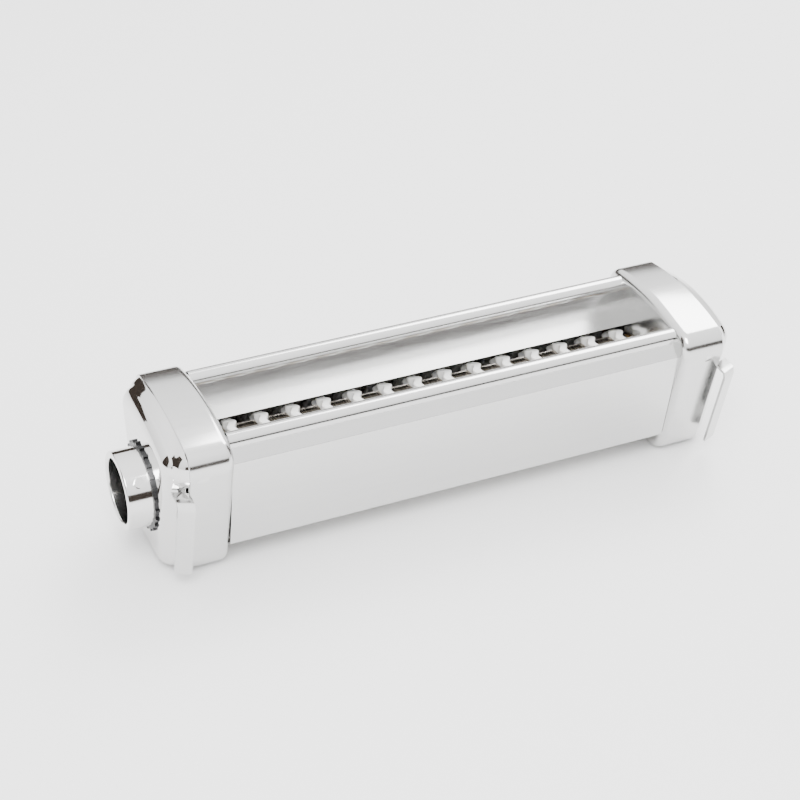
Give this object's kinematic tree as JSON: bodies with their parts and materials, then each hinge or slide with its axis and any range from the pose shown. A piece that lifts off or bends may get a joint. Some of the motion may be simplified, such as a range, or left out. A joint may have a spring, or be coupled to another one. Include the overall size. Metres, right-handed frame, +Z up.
{
  "type": "pasta cutter roller head",
  "caption": "Noodle-cutting roller head for a pasta machine: hopper over a geared pair of rollers with wavy discs, end covers and a drive sleeve.",
  "frame": {"origin": "middle of the box in X and Y, at the bottom of the feet", "axes": "+X along the rollers towards the plain end, -Y the front with the tongues, +Z up"},
  "size_m": [0.2976, 0.0814, 0.079],
  "materials": {
    "polished_sheet": "polished stainless sheet",
    "cover_chrome": "mirror chrome over pressed steel",
    "socket_chrome": "bright chrome",
    "roller_steel": "turned and polished",
    "zinc_steel": "zinc plated",
    "gear_steel": "oiled machined steel",
    "dark_steel": "blackened",
    "nylon": "translucent off-white nylon",
    "bronze": "sintered bronze"
  },
  "bodies": {
    "frame": {"left_side_plate": "polished_sheet", "right_side_plate": "polished_sheet", "front_panel": "polished_sheet", "rear_panel": "polished_sheet", "front_hopper": "polished_sheet", "rear_hopper": "polished_sheet", "front_upper_tie_rod": "zinc_steel", "rear_upper_tie_rod": "zinc_steel", "front_lower_tie_rod": "zinc_steel", "rear_lower_tie_rod": "zinc_steel", "left_tie_rod_nuts": "zinc_steel", "right_tie_rod_nuts": "zinc_steel", "front_comb": "nylon", "rear_comb": "nylon", "left_bushes": "bronze", "right_bushes": "bronze", "gear_bracket": "zinc_steel", "bracket_pillars": "zinc_steel", "bracket_screws": "zinc_steel", "input_bush": "bronze", "left_end_cover": "cover_chrome", "right_end_cover": "cover_chrome", "left_cover_screws": "dark_steel", "right_cover_screws": "dark_steel", "drive_sleeve": "socket_chrome", "sleeve_lock_ring": "dark_steel", "bayonet_pin": "socket_chrome"},
    "rear_roller": {"rear_roller_shaft": "roller_steel", "rear_roller_sleeves": "roller_steel", "rear_wave_discs": "nylon", "rear_roller_gear": "gear_steel", "reduction_gear": "gear_steel", "rear_roller_circlips": "dark_steel"},
    "front_roller": {"front_roller_shaft": "roller_steel", "front_roller_sleeves": "roller_steel", "front_wave_discs": "nylon", "front_roller_gear": "gear_steel", "front_roller_circlips": "dark_steel"},
    "input_drive": {"input_shaft": "roller_steel", "input_pinion": "gear_steel"}
  },
  "joints": [
    {"name": "rear_roller_spin", "type": "hinge", "parent": "frame", "child": "rear_roller", "pos_m": [0.00675, 0.01475, 0.038], "axis": [1, 0, 0], "continuous": true},
    {"name": "front_roller_spin", "type": "hinge", "parent": "frame", "child": "front_roller", "pos_m": [0.00675, -0.00925, 0.038], "axis": [1, 0, 0], "continuous": true},
    {"name": "input_spin", "type": "hinge", "parent": "frame", "child": "input_drive", "pos_m": [-0.12325, 0.00275, 0.038], "axis": [1, 0, 0], "continuous": true}
  ],
  "couplings": [
    {"joint": "front_roller_spin", "follows": "rear_roller_spin", "ratio": -1},
    {"joint": "input_spin", "follows": "rear_roller_spin", "ratio": -1.3636}
  ]
}
